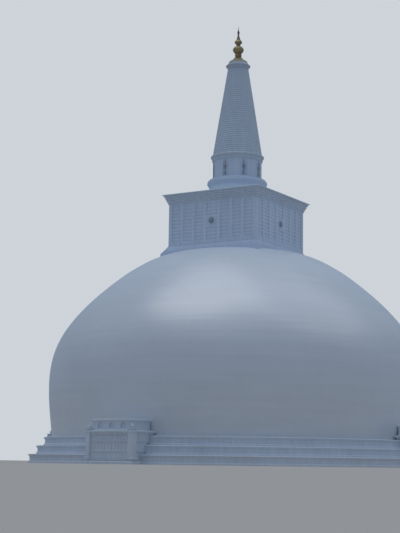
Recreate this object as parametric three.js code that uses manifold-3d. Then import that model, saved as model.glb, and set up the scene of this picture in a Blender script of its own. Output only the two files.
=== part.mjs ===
// A great whitewashed brick stupa, modelled at one tenth of its real size.
// From the ground up: three round terraces, a bubble-shaped dome with an altar at each of its four
// sides, a square chamber wrapped in a masonry railing, a drum with eight figures in niches, a
// ringed spire and a gilded pinnacle that carries a crystal.
//
// Driving dimensions are the real stupa's, in metres. The model is in millimetres, +Z up, with its
// origin at the centre of the foot. The front side of the square chamber faces -Y.
import * as THREE from "three";
import { mergeVertices } from "three/addons/utils/BufferGeometryUtils.js";
import Module from "manifold-3d";

const wasm = await Module();
wasm.setup();

// One real metre in model millimetres, at a scale of 1 to 10.
const METRE = 100;
// The gap left between pieces that are cut by, or turned against, their neighbours.
const GAP = 0.003;

// Sides of each round piece.
const DOME_SIDES = 64;
const TOWER_SIDES = 32;
const PINNACLE_SIDES = 16;

// The three terraces: outer radius, and the height of the top of each.
const TERRACES = [
  { name: "lower_terrace", radius: 46.2, top: 1.9 },
  { name: "middle_terrace", radius: 44.5, top: 3.75 },
  { name: "upper_terrace", radius: 42.9, top: 5.6 },
];
const TERRACE_RECESS = 0.3;
const TERRACE_PLINTH = 0.4;
const TERRACE_COPING = 0.35;
const DOME_FOOT = TERRACES[2].top;

// The dome's outline as radius and height: an almost upright belly, a tight shoulder, a flat crown.
const DOME_OUTLINE = [
  [41.2, DOME_FOOT],
  [41.85, 12.0],
  [42.05, 18.5],
  [40.7, 25.6],
  [37.2, 31.5],
  [30.3, 38.6],
  [22.9, 44.3],
  [14.0, 47.4],
  [0, 48.4],
];
const DOME_STEPS = 20;

// The square chamber.
const CHAMBER_HALF = 11.4;
const POST_DEPTH = 0.12;
const RAIL_DEPTH = 0.17;
const RAIL_BACKING = 0.16;
const CORE_HALF = CHAMBER_HALF - POST_DEPTH - RAIL_DEPTH - RAIL_BACKING;
const PLINTH_HALF = 12.7;
const PLINTH_BURIED = 45.6;
const PLINTH_SHOULDER = 47.4;
const CHAMBER_FOOT = 49.1;
const RAILS_FOOT = 49.97;
const POSTS_HEAD = 58.6;
const CHAMBER_TOP = 58.8;
const CORNICE_TOP = 61.0;
const CORNICE_HALF = 12.6;
const ROOF_TOP = 61.5;

// The railing on each side: eight posts, seven bays of rails, and a field for the disc.
const POST_WIDTH = 0.9;
const MIDDLE_BAY = 2.75;
const BAYS = 7;
const RAILS = 11;
const RAIL_PITCH = 0.8;
const RAIL_SHARE = 0.66;
const DISC_HEIGHT = 54.2;
const DISC_FIELD_HALF = 1.4;
const DISC_RADIUS = 1.15;
const DISC_BOSS_RADIUS = 0.72;
const DISC_BOSS_DEPTH = 0.42;

// The drum and its eight niches.
const DRUM_FOOT = 65.6;
const DRUM_TOP = 69.8;
const DRUM_RADIUS = 5.65;
const NICHES = 8;
const NICHE_HALF = 0.41;
const NICHE_DEPTH = 0.2;
const NICHE_SILL = 65.85;
const NICHE_SPRING = 68.9;
const FIGURE_HEIGHT = 3.4;
const FIGURE_SET_BACK = 0.06;
const FIGURE_DEPTH_SHARE = 0.34;
const FIGURE_SIDES = 8;

// The spire.
const SPIRE_FOOT = 71.2;
const SPIRE_TOP = 92.3;
const SPIRE_FOOT_RADIUS = 5.78;
const SPIRE_TOP_RADIUS = 2.43;
const SPIRE_RINGS = 40;
const RING_OVERHANG = 0.12;
const CROWN_TOP = 93.6;

// The altar at each side of the dome.
const ALTAR_BACK = 40.5;

const whitewash = new THREE.MeshStandardMaterial({ color: 0xd9dfe6, roughness: 0.55, metalness: 0 });
const dome_paint = new THREE.MeshStandardMaterial({ color: 0xdfe4ea, roughness: 0.42, metalness: 0 });
const gilding = new THREE.MeshStandardMaterial({ color: 0xb08a3c, roughness: 0.35, metalness: 0.9 });
const crystal = new THREE.MeshStandardMaterial({ color: 0x4b4560, roughness: 0.1, metalness: 0 });
const figure_paint = new THREE.MeshStandardMaterial({ color: 0x8d8a92, roughness: 0.7, metalness: 0 });
const disc_relief = new THREE.MeshStandardMaterial({ color: 0x7f8a88, roughness: 0.6, metalness: 0 });

const stupa = new THREE.Group();

function add(name, geometry, material, parent = stupa) {
  const mesh = new THREE.Mesh(geometry, material);
  mesh.name = name;
  parent.add(mesh);
  return mesh;
}

// A solid of revolution about +Z from an outline of [radius, height] pairs, bottom to top.
function turned(outline, sides) {
  const points = outline.map(([radius, height]) => new THREE.Vector2(radius * METRE, height * METRE));
  return new THREE.LatheGeometry(points, sides).rotateX(Math.PI / 2);
}

// The same for a square piece, from [half side, height] pairs.
function squared(outline) {
  const points = outline.map(([half, height]) => new THREE.Vector2(half * Math.SQRT2 * METRE, height * METRE));
  return new THREE.LatheGeometry(points, 4, Math.PI / 4).rotateX(Math.PI / 2);
}

// A box from its lowest to its highest corner.
function block([x0, y0, z0], [x1, y1, z1]) {
  return new THREE.BoxGeometry((x1 - x0) * METRE, (y1 - y0) * METRE, (z1 - z0) * METRE).translate(
    ((x0 + x1) / 2) * METRE,
    ((y0 + y1) / 2) * METRE,
    ((z0 + z1) / 2) * METRE,
  );
}

// The closed solid inside a geometry, for joining and cutting.
function solidOf(geometry) {
  const bare = geometry.clone();
  bare.deleteAttribute("normal");
  bare.deleteAttribute("uv");
  const merged = mergeVertices(bare, 1e-3);
  const mesh = new wasm.Mesh({
    numProp: 3,
    vertProperties: merged.attributes.position.array,
    triVerts: new Uint32Array(merged.index.array),
  });
  return new wasm.Manifold(mesh);
}

function geometryOf(solid) {
  const mesh = solid.getMesh();
  const geometry = new THREE.BufferGeometry();
  geometry.setAttribute("position", new THREE.BufferAttribute(mesh.vertProperties, mesh.numProp));
  geometry.setIndex(new THREE.BufferAttribute(mesh.triVerts, 1));
  geometry.computeVertexNormals();
  return geometry;
}

function joined(geometries) {
  return geometries.map(solidOf).reduce((whole, piece) => whole.add(piece));
}

// The four sides, with the turn that carries the front side to each.
const SIDES = ["front", "right", "back", "left"].map((name, quarter) => ({ name, turn: (quarter * Math.PI) / 2 }));

// Three round terraces, each a plinth, a recessed wall and a projecting coping.
function addTerraces() {
  let foot = 0;
  for (const { name, radius, top } of TERRACES) {
    const outline = [
      [0, foot],
      [radius, foot],
      [radius, foot + TERRACE_PLINTH],
      [radius - TERRACE_RECESS, foot + TERRACE_PLINTH + 0.1],
      [radius - TERRACE_RECESS, top - TERRACE_COPING - 0.1],
      [radius, top - TERRACE_COPING],
      [radius, top],
      [0, top],
    ];
    add(name, turned(outline, DOME_SIDES), whitewash);
    foot = top;
  }
}

// The dome's curve, grown by a clearance where it cuts another piece.
function domeOutline(clearance = 0) {
  const curve = new THREE.SplineCurve(DOME_OUTLINE.map(([radius, height]) => new THREE.Vector2(radius, height)));
  const points = curve.getPoints(DOME_STEPS).map(({ x, y }) => [x + clearance, y + clearance]);
  points[points.length - 1][0] = 0;
  return [[0, DOME_FOOT], ...points];
}

function addDome() {
  add("dome", turned(domeOutline(), DOME_SIDES), dome_paint);
}

// An altar: a stepped front with string courses, a cornice, an attic and two broad pilasters.
// Its back is bonded into the terraces and lies against the dome.
function addAltars() {
  const stages = [
    { half: 5.6, front: 49.4, from: 0, to: 0.9 },
    { half: 5.0, front: 48.8, from: 0.9, to: 5.9 },
    { half: 5.25, front: 49.05, from: 2.3, to: 2.7 },
    { half: 5.25, front: 49.05, from: 4.2, to: 4.5 },
    { half: 5.55, front: 49.3, from: 5.9, to: 6.5 },
    { half: 4.4, front: 48.2, from: 6.5, to: 8.3 },
    { half: 4.7, front: 48.5, from: 8.3, to: 8.7 },
  ];
  const courses = stages.map(({ half, front, from, to }) => block([-half, -front, from], [half, -ALTAR_BACK, to]));
  const pilasters = [-1, 1].map((side) => block([side * 5.0 - 0.5, -49.2, 0.9], [side * 5.0 + 0.5, -47.6, 7.3]));
  const footings = TERRACES.map(({ radius, top }) =>
    turned([[0, -1], [radius + GAP, -1], [radius + GAP, top + GAP], [0, top + GAP]], DOME_SIDES),
  );
  const behind = joined([...footings, turned(domeOutline(GAP), DOME_SIDES)]);
  const altar = geometryOf(joined([...courses, ...pilasters]).subtract(behind));
  for (const { name, turn } of SIDES) {
    add(`altar_${name}`, altar.clone(), whitewash).rotation.z = turn;
  }
}

// The plinth of the square chamber, which flares out and is cut to sit on the crown of the dome.
function addChamberPlinth() {
  const plinth = squared([
    [0, PLINTH_BURIED],
    [PLINTH_HALF, PLINTH_BURIED],
    [PLINTH_HALF, PLINTH_SHOULDER],
    [CHAMBER_HALF + 0.25, CHAMBER_FOOT],
    [0, CHAMBER_FOOT],
  ]);
  const crown = solidOf(turned(domeOutline(), DOME_SIDES)).translate([0, 0, GAP * METRE]);
  add("chamber_plinth", geometryOf(solidOf(plinth).subtract(crown)), whitewash);
}

// Ribs of masonry rails on a thin backing, as one outline drawn out along the side.
function railsGeometry(halfLength) {
  const back = CORE_HALF + GAP;
  const backing = CORE_HALF + RAIL_BACKING;
  const face = backing + RAIL_DEPTH;
  const outline = new THREE.Shape();
  outline.moveTo(back * METRE, (CHAMBER_FOOT + GAP) * METRE);
  outline.lineTo(face * METRE, (CHAMBER_FOOT + GAP) * METRE);
  for (let rail = 0; rail < RAILS; rail += 1) {
    const groove = RAILS_FOOT + RAIL_PITCH * rail;
    const ribFoot = groove + RAIL_PITCH * (1 - RAIL_SHARE);
    outline.lineTo(face * METRE, groove * METRE);
    outline.lineTo(backing * METRE, groove * METRE);
    outline.lineTo(backing * METRE, ribFoot * METRE);
    outline.lineTo(face * METRE, ribFoot * METRE);
  }
  outline.lineTo(face * METRE, (CHAMBER_TOP - GAP) * METRE);
  outline.lineTo(back * METRE, (CHAMBER_TOP - GAP) * METRE);
  const length = 2 * halfLength * METRE;
  // The outline's first axis becomes -Y, its second +Z, and it is drawn out along X.
  const stand = new THREE.Matrix4().makeBasis(
    new THREE.Vector3(0, -1, 0),
    new THREE.Vector3(0, 0, 1),
    new THREE.Vector3(-1, 0, 0),
  );
  return new THREE.ExtrudeGeometry(outline, { depth: length, bevelEnabled: false })
    .translate(0, 0, -length / 2)
    .applyMatrix4(stand);
}

// The posts of the railing with their sill and head, as one slab with an opening cut for each bay.
// The middle bay is closed by a plain field behind the disc.
function postsGeometry(halfLength) {
  const back = CHAMBER_HALF - POST_DEPTH + GAP;
  const opening = (x0, z0, x1, z1) => block([x0, -CHAMBER_HALF - 1, z0], [x1, 1 - back, z1]);
  const openings = [];
  const bay = (2 * CHAMBER_HALF - (BAYS + 1) * POST_WIDTH - MIDDLE_BAY) / (BAYS - 1);
  let left = -CHAMBER_HALF + POST_WIDTH;
  for (let place = 0; place < BAYS; place += 1) {
    const middle = place === (BAYS - 1) / 2;
    const right = left + (middle ? MIDDLE_BAY : bay);
    if (middle) {
      openings.push(opening(left, RAILS_FOOT, right, DISC_HEIGHT - DISC_FIELD_HALF));
      openings.push(opening(left, DISC_HEIGHT + DISC_FIELD_HALF, right, POSTS_HEAD));
    } else {
      openings.push(opening(left, RAILS_FOOT, right, POSTS_HEAD));
    }
    left = right + POST_WIDTH;
  }
  const slab = block([-halfLength, -CHAMBER_HALF, CHAMBER_FOOT + GAP], [halfLength, -back, CHAMBER_TOP - GAP]);
  return geometryOf(solidOf(slab).subtract(joined(openings)));
}

// A round moulded frame with a domed boss at its centre.
function discGeometry() {
  const outline = [
    [0, 0],
    [DISC_RADIUS, 0],
    [DISC_RADIUS, 0.16],
    [DISC_RADIUS - 0.2, 0.22],
    [DISC_BOSS_RADIUS, 0.1],
    [DISC_BOSS_RADIUS * 0.86, DISC_BOSS_DEPTH * 0.6],
    [DISC_BOSS_RADIUS * 0.5, DISC_BOSS_DEPTH * 0.9],
    [0, DISC_BOSS_DEPTH],
  ];
  return turned(outline, PINNACLE_SIDES)
    .rotateX(Math.PI / 2)
    .translate(0, -(CHAMBER_HALF + GAP) * METRE, DISC_HEIGHT * METRE);
}

// The square chamber: a solid core wrapped on each side in rails, posts and a disc. The front and
// back layers run to the corners, and the side layers end against them.
function addChamber() {
  add("chamber_core", block([-CORE_HALF, -CORE_HALF, CHAMBER_FOOT], [CORE_HALF, CORE_HALF, CHAMBER_TOP]), whitewash);
  for (const [quarter, { name, turn }] of SIDES.entries()) {
    const inset = quarter % 2 === 1;
    const layers = new THREE.Group();
    layers.rotation.z = turn;
    stupa.add(layers);
    const railsHalf = inset ? CORE_HALF : CHAMBER_HALF - POST_DEPTH;
    const postsHalf = inset ? CHAMBER_HALF - POST_DEPTH : CHAMBER_HALF;
    add(`rails_${name}`, railsGeometry(railsHalf - GAP), whitewash, layers);
    add(`posts_${name}`, postsGeometry(postsHalf - (inset ? GAP : 0)), whitewash, layers);
    add(`sun_disc_${name}`, discGeometry(), disc_relief, layers);
  }
}

// The corbelled cornice, and the low roof that sheds water around the drum.
function addCornice() {
  const corbels = 4;
  const firstHalf = CHAMBER_HALF + 0.15;
  const lipFoot = CORNICE_TOP - 0.4;
  const rise = (lipFoot - CHAMBER_TOP) / corbels;
  const reach = (CORNICE_HALF - 0.2 - firstHalf) / corbels;
  const outline = [[0, CHAMBER_TOP]];
  for (let corbel = 0; corbel < corbels; corbel += 1) {
    const half = firstHalf + reach * corbel;
    outline.push([half, CHAMBER_TOP + rise * corbel], [half, CHAMBER_TOP + rise * (corbel + 1)]);
  }
  outline.push([CORNICE_HALF, lipFoot + 0.08], [CORNICE_HALF, CORNICE_TOP], [0, CORNICE_TOP]);
  add("chamber_cornice", squared(outline), whitewash);
  const roof = squared([
    [0, CORNICE_TOP],
    [CORNICE_HALF - 0.5, CORNICE_TOP],
    [CORNICE_HALF - 0.5, CORNICE_TOP + 0.12],
    [7.2, ROOF_TOP],
    [0, ROOF_TOP],
  ]);
  add("chamber_roof", roof, whitewash);
}

// The drum's moulded foot, its body with eight arched niches, and the ring that crowns it.
function addDrum() {
  const foot = [
    [0, ROOF_TOP],
    [6.42, ROOF_TOP],
    [6.42, 63.6],
    [6.52, 63.72],
    [6.52, 63.95],
    [6.75, 64.15],
    [6.98, 64.55],
    [6.98, 64.9],
    [6.75, 65.28],
    [6.3, 65.42],
    [5.9, 65.5],
    [5.9, DRUM_FOOT],
    [0, DRUM_FOOT],
  ];
  add("drum_foot", turned(foot, TOWER_SIDES), whitewash);

  const body = turned([[0, DRUM_FOOT], [DRUM_RADIUS, DRUM_FOOT], [DRUM_RADIUS, DRUM_TOP], [0, DRUM_TOP]], TOWER_SIDES);
  const arch = new THREE.Shape();
  arch.moveTo(-NICHE_HALF * METRE, NICHE_SILL * METRE);
  arch.lineTo(NICHE_HALF * METRE, NICHE_SILL * METRE);
  arch.lineTo(NICHE_HALF * METRE, NICHE_SPRING * METRE);
  arch.absarc(0, NICHE_SPRING * METRE, NICHE_HALF * METRE, 0, Math.PI);
  const depth = (NICHE_DEPTH + 1) * METRE;
  const cutter = new THREE.ExtrudeGeometry(arch, { depth, bevelEnabled: false, curveSegments: 4 })
    .rotateX(Math.PI / 2)
    .translate(0, -(DRUM_RADIUS - NICHE_DEPTH) * METRE, 0);
  let drum = solidOf(body);
  for (let place = 0; place < NICHES; place += 1) {
    drum = drum.subtract(solidOf(cutter.clone().rotateZ((place * 2 * Math.PI) / NICHES)));
  }
  add("drum", geometryOf(drum), whitewash);

  const ring = [
    [0, DRUM_TOP],
    [DRUM_RADIUS + 0.17, DRUM_TOP],
    [DRUM_RADIUS + 0.25, 70.2],
    [6.08, 70.65],
    [6.19, 70.8],
    [6.19, 71.05],
    [5.95, SPIRE_FOOT],
    [0, SPIRE_FOOT],
  ];
  add("drum_cornice", turned(ring, TOWER_SIDES), whitewash);
}

// A standing guardian with joined hands and a tall crown, on a lotus stand, one in each niche.
function addFigures() {
  const outline = [
    [0, 0],
    [0.33, 0],
    [0.33, 0.22],
    [0.26, 0.35],
    [0.27, 0.6],
    [0.22, 1.15],
    [0.3, 1.6],
    [0.37, 1.9],
    [0.31, 2.25],
    [0.14, 2.45],
    [0.17, 2.65],
    [0.15, 2.85],
    [0.04, FIGURE_HEIGHT],
    [0, FIGURE_HEIGHT],
  ];
  const standing = turned(outline, FIGURE_SIDES)
    .scale(1, FIGURE_DEPTH_SHARE, 1)
    .translate(0, -(DRUM_RADIUS - FIGURE_SET_BACK) * METRE, (NICHE_SILL + GAP) * METRE);
  for (let place = 0; place < NICHES; place += 1) {
    add(`niche_figure_${place + 1}`, standing.clone(), figure_paint).rotation.z = (place * 2 * Math.PI) / NICHES;
  }
}

// The spire: a straight cone of forty rings, each stepping out a little over the one below it.
function addSpire() {
  const pitch = (SPIRE_TOP - SPIRE_FOOT) / SPIRE_RINGS;
  const taper = (SPIRE_FOOT_RADIUS - SPIRE_TOP_RADIUS) / SPIRE_RINGS;
  const outline = [[0, SPIRE_FOOT]];
  for (let ring = 0; ring < SPIRE_RINGS; ring += 1) {
    const radius = SPIRE_FOOT_RADIUS - taper * ring;
    outline.push([radius, SPIRE_FOOT + pitch * ring]);
    outline.push([radius - taper - RING_OVERHANG, SPIRE_FOOT + pitch * (ring + 1)]);
  }
  outline.push([0, SPIRE_TOP]);
  add("spire", turned(outline, TOWER_SIDES), whitewash);

  const crown = [
    [0, SPIRE_TOP],
    [2.5, SPIRE_TOP],
    [2.62, 92.7],
    [2.88, 92.95],
    [2.88, 93.25],
    [2.5, 93.45],
    [2.36, CROWN_TOP],
    [0, CROWN_TOP],
  ];
  add("spire_crown", turned(crown, TOWER_SIDES), whitewash);
}

// Points on a rounded swelling between two necks, as radius and height.
function swelling(neckBelow, foot, widest, neckAbove, top, steps = 6) {
  const points = [];
  for (let step = 0; step <= steps; step += 1) {
    const share = step / steps;
    const neck = neckBelow + (neckAbove - neckBelow) * share;
    points.push([neck + (widest - neck) * Math.sin(share * Math.PI), foot + (top - foot) * share]);
  }
  return points;
}

// The gilded pinnacle, in the pieces that are stacked on its core, and the crystal at its head.
function addPinnacle() {
  const stack = [
    {
      name: "pinnacle_foot",
      to: 95.3,
      outline: [[2.3, CROWN_TOP], [2.24, 93.85], [2.1, 94.12], [1.86, 94.34], [1.36, 94.52], [1.24, 94.75], [0.78, 95.3]],
    },
    {
      name: "pinnacle_collar",
      to: 96.1,
      outline: [[0.72, 95.3], [0.68, 95.52], [0.82, 95.66], [0.82, 95.86], [0.64, 96.0], [0.62, 96.1]],
    },
    { name: "pinnacle_pot", to: 98.4, outline: [...swelling(0.6, 96.1, 1.28, 0.45, 98.2), [0.42, 98.4]] },
    { name: "pinnacle_bulb", to: 99.65, outline: swelling(0.4, 98.4, 0.87, 0.38, 99.65) },
    { name: "pinnacle_spike", to: 101.05, outline: [[0.38, 99.65], [0.3, 100.1], [0.18, 100.9], [0.2, 101.05]] },
    { name: "crystal", to: 102.05, outline: [[0.15, 101.05], [0.3, 101.5], [0.09, 102.05]] },
    { name: "lightning_rod", to: 103.0, outline: [[0.07, 102.05], [0.04, 103.0]] },
  ];
  let foot = CROWN_TOP;
  for (const { name, to, outline } of stack) {
    const material = name === "crystal" ? crystal : gilding;
    add(name, turned([[0, foot], ...outline, [0, to]], PINNACLE_SIDES), material);
    foot = to;
  }
}

addTerraces();
addDome();
addAltars();
addChamberPlinth();
addChamber();
addCornice();
addDrum();
addFigures();
addSpire();
addPinnacle();

export default stupa;
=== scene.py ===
import math

import bmesh
import bpy
from mathutils import Matrix, Vector


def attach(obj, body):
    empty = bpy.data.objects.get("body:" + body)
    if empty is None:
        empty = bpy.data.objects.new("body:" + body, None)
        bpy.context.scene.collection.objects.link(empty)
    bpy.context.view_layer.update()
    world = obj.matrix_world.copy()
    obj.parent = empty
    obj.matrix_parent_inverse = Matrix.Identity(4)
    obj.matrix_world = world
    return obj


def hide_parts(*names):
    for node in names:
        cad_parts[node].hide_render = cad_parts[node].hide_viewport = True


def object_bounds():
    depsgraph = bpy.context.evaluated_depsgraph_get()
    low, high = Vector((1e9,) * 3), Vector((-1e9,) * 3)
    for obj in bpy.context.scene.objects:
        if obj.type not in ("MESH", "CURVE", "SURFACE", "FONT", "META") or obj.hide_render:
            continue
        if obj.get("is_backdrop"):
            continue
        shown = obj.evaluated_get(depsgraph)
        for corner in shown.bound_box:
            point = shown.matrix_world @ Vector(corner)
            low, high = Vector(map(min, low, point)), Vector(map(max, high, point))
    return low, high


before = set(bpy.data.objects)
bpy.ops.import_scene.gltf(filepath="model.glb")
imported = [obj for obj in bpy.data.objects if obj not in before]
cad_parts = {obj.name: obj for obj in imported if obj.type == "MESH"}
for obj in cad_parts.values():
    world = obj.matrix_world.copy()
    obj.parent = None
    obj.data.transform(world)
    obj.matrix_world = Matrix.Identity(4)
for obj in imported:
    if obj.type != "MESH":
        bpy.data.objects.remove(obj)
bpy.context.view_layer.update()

# The view: from some 290 m away, at eye height above the foot, towards the corner between the
# front and right sides. Real sizes are in metres, and METRE is one of them at 1 to 10.
METRE = 0.1
VIEW_DISTANCE = 291.9
VIEW_AZIMUTH = math.radians(29.81)
AIM_LEFT = math.radians(1.65)
AIM_UP = math.radians(8.71)
HEAD_TILT = math.radians(0.75)
EYE_HEIGHT = 0.5
LENS = 86.45
FARTHEST_SEEN = 3000

bpy.ops.object.camera_add()
camera = bpy.context.object
camera.name = "camera"
camera.data.lens = LENS
camera.data.clip_end = FARTHEST_SEEN * METRE
stand_x = math.sin(VIEW_AZIMUTH) * VIEW_DISTANCE
stand_y = -math.cos(VIEW_AZIMUTH) * VIEW_DISTANCE
camera.matrix_world = (
    Matrix.Translation(Vector((stand_x, stand_y, EYE_HEIGHT)) * METRE)
    @ Matrix.Rotation(VIEW_AZIMUTH + AIM_LEFT, 4, "Z")
    @ Matrix.Rotation(math.pi / 2 + AIM_UP, 4, "X")
    @ Matrix.Rotation(HEAD_TILT, 4, "Z")
)
bpy.context.scene.camera = camera

# The three terraces: round platforms of brick where people walk around the dome, each with a
# plinth, a recessed wall and a coping, plastered and limewashed.
TERRACES = [
    {"node": "lower_terrace", "radius": 46.2, "foot": 0.0, "top": 1.9},
    {"node": "middle_terrace", "radius": 44.5, "foot": 1.9, "top": 3.75},
    {"node": "upper_terrace", "radius": 42.9, "foot": 3.75, "top": 5.6},
]
TERRACE_RECESS = 0.3
GREAT_ROUND_SIDES = 256
LIME_STAIN = 0.8
WELD = 0.00002
SOFT_EDGE = math.radians(35)


class Field:
    """A number or vector that varies over a surface, held as the output socket of a shader node."""

    def __init__(self, finish, socket):
        self.finish = finish
        self.socket = socket

    def calculate(self, operation, *values):
        return self.finish.node("ShaderNodeMath", {"operation": operation}, dict(enumerate(values)))

    def __add__(self, other):
        return self.calculate("ADD", self, other)

    def __sub__(self, other):
        return self.calculate("SUBTRACT", self, other)

    def __rsub__(self, other):
        return self.calculate("SUBTRACT", other, self)

    def __mul__(self, other):
        return self.calculate("MULTIPLY", self, other)

    def __abs__(self):
        return self.calculate("ABSOLUTE", self)

    __radd__ = __add__

    def clamped(self):
        return self.finish.node("ShaderNodeClamp", {}, {"Value": self})

    def at_most(self, limit):
        return self.calculate("MINIMUM", self, limit)


class Finish:
    """A material in the making. It adds shader nodes and sets the surface's own sockets."""

    def __init__(self, name, constants):
        self.material = bpy.data.materials.new(name)
        self.material.use_nodes = True
        self.nodes = self.material.node_tree.nodes
        self.surface = self.nodes["Principled BSDF"]
        self.fill(self.surface, constants)

    def fill(self, node, values):
        """Sets a node's sockets, and links those whose value is a field."""
        for socket, value in values.items():
            if isinstance(value, Field):
                self.material.node_tree.links.new(value.socket, node.inputs[socket])
            else:
                node.inputs[socket].default_value = value

    def node(self, kind, settings, values, output=0):
        node = self.nodes.new(kind)
        for setting, value in settings.items():
            setattr(node, setting, value)
        self.fill(node, values)
        return Field(self, node.outputs[output])

    def vector(self, operation, first, second, output="Vector"):
        values = {0: first, 1: second}
        return self.node("ShaderNodeVectorMath", {"operation": operation}, values, output)

    def place(self):
        """Where a point of the surface is, in metres of the model."""
        return self.node("ShaderNodeTexCoord", {}, {}, "Object")

    def height(self):
        """The height above the ground in real metres."""
        return self.node("ShaderNodeSeparateXYZ", {}, {"Vector": self.place()}, "Z") * (1 / METRE)

    def bearing(self):
        """The level direction from the axis to a point, one unit long."""
        plan = self.vector("MULTIPLY", self.place(), (1, 1, 0))
        return self.vector("NORMALIZE", plan, (0, 0, 0))

    def noise(self, stretch, scale, detail=4.0, roughness=0.55):
        """Clouds of that scale, stretched by three factors or laid out over a field of places."""
        if not isinstance(stretch, Field):
            stretch = self.node("ShaderNodeMapping", {}, {"Vector": self.place(), "Scale": stretch})
        values = {"Vector": stretch, "Scale": scale, "Detail": detail, "Roughness": roughness}
        return self.node("ShaderNodeTexNoise", {}, values)

    def mixed(self, factor, first, second):
        """Runs from the first colour to the second as the factor goes from 0 to 1."""
        return self.node("ShaderNodeMix", {"data_type": "RGBA"}, {0: factor, 6: first, 7: second}, 2)

    def raised(self, height, distance, strength=1.0, under=None):
        """Fine relief, over the coarser one under it."""
        values = {"Height": height, "Distance": distance, "Strength": strength}
        if under:
            values["Normal"] = under
        return self.node("ShaderNodeBump", {}, values)

    def given(self, values):
        """The material, once its surface has these values."""
        self.fill(self.surface, values)
        return self.material


def limewash(name, colour, rough=0.6, darkening=None):
    """Brushed lime over trowelled plaster: soft clouds, faint runs of rain and a fine tooth.
    Darkening is a colour that thickens from its first height to its second, in real metres."""
    finish = Finish(name, {"IOR": 1.5})
    clouds = finish.noise((1, 1, 1), 1.3)
    runs = finish.noise((1, 1, 0.07), 14.0, detail=5.0, roughness=0.6)
    tooth = finish.noise((1, 1, 1), 60.0, detail=3.0)
    brush = finish.noise((1, 1, 3), 9.0, detail=3.0)
    stained = [part * LIME_STAIN for part in colour]
    tint = finish.mixed((clouds * 1.1 + runs * 1.5 - 1.05).clamped(), (*colour, 1), (*stained, 1))
    if darkening:
        darker, start, end = darkening
        depth = (finish.height() - start) * (1 / (end - start))
        tint = finish.mixed((depth + (runs - 0.5) * 0.6).clamped(), tint, (*darker, 1))
    return finish.given(
        {
            "Base Color": tint,
            "Roughness": rough + (clouds - 0.5) * 0.18 + (tooth - 0.5) * 0.1,
            "Normal": finish.raised(tooth, 0.0012, 0.5, finish.raised(brush, 0.004, 0.6)),
        }
    )


def new_point(place):
    """Starts a piece as one vertex in edit mode, to be drawn out into an outline."""
    bpy.ops.mesh.primitive_plane_add(size=0.01)
    piece = bpy.context.object
    bpy.ops.object.mode_set(mode="EDIT")
    bpy.ops.mesh.merge(type="CENTER")
    bpy.ops.transform.translate(value=place)
    return piece


def drawn(step):
    """Draws the picked point out by one step, with an edge between the two."""
    bpy.ops.mesh.extrude_vertices_move(TRANSFORM_OT_translate={"value": step})


def closed(piece):
    """Welds a piece, turns its faces outwards, leaves edit mode and smooths all but sharp edges."""
    bpy.ops.mesh.select_all(action="SELECT")
    bpy.ops.mesh.remove_doubles(threshold=WELD)
    bpy.ops.mesh.normals_make_consistent()
    bpy.ops.object.mode_set(mode="OBJECT")
    bpy.ops.object.shade_smooth_by_angle(angle=SOFT_EDGE)
    return piece


def turned(outline, sides):
    """A solid of revolution about the axis, from (radius, height) pairs in real metres."""
    places = [(radius * METRE, 0, height * METRE) for radius, height in outline]
    piece = new_point(places[0])
    for place, next_place in zip(places, places[1:]):
        drawn([end - start for start, end in zip(place, next_place)])
    bpy.ops.mesh.select_all(action="SELECT")
    bpy.ops.mesh.spin(steps=sides, angle=math.tau, center=(0, 0, 0), axis=(0, 0, 1))
    return closed(piece)


def swell(start, end, bulge, steps=5):
    """Points from start to end on an arc that bulges outwards, or inwards where bulge is negative."""
    (radius, height), (end_radius, end_height) = start, end
    length = math.hypot(end_radius - radius, end_height - height)
    out = (end_height - height) / length, (radius - end_radius) / length
    points = []
    for step in range(steps + 1):
        share = step / steps
        reach = bulge * 4 * share * (1 - share)
        across = radius + (end_radius - radius) * share + out[0] * reach
        up = height + (end_height - height) * share + out[1] * reach
        points.append((across, up))
    return points


def tinted(piece, *materials):
    """Gives a piece these materials in place of any that it has."""
    piece.data.materials.clear()
    for material in materials:
        piece.data.materials.append(material)
    return piece


def fitted(piece, name, material, slot, *nodes):
    """Names a finished piece, gives it its material, and seats it in place of its nodes."""
    piece.name = name
    if material:
        tinted(piece, material)
    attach(piece, "root")
    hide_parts(*nodes)


terrace_wash = limewash("terrace_limewash", (0.66, 0.72, 0.80))

for terrace in TERRACES:
    radius, foot, top = terrace["radius"], terrace["foot"], terrace["top"]
    wall = radius - TERRACE_RECESS
    outline = [
        (0, foot),
        (radius, foot),
        (radius, foot + 0.27),
        *swell((radius - 0.02, foot + 0.29), (wall + 0.08, foot + 0.45), 0.06),
        (wall + 0.04, foot + 0.47),
        (wall, foot + 0.5),
        (wall, top - 0.56),
        (wall + 0.07, top - 0.54),
        (wall + 0.07, top - 0.46),
        *swell((wall + 0.09, top - 0.44), (radius - 0.03, top - 0.28), -0.04),
        *swell((radius, top - 0.26), (radius - 0.04, top - 0.02), 0.05),
        (radius - 0.08, top),
        (0, top),
    ]
    name = terrace["node"].replace("terrace", "walkway")
    fitted(turned(outline, GREAT_ROUND_SIDES), name, terrace_wash, "whitewash", terrace["node"])

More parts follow.
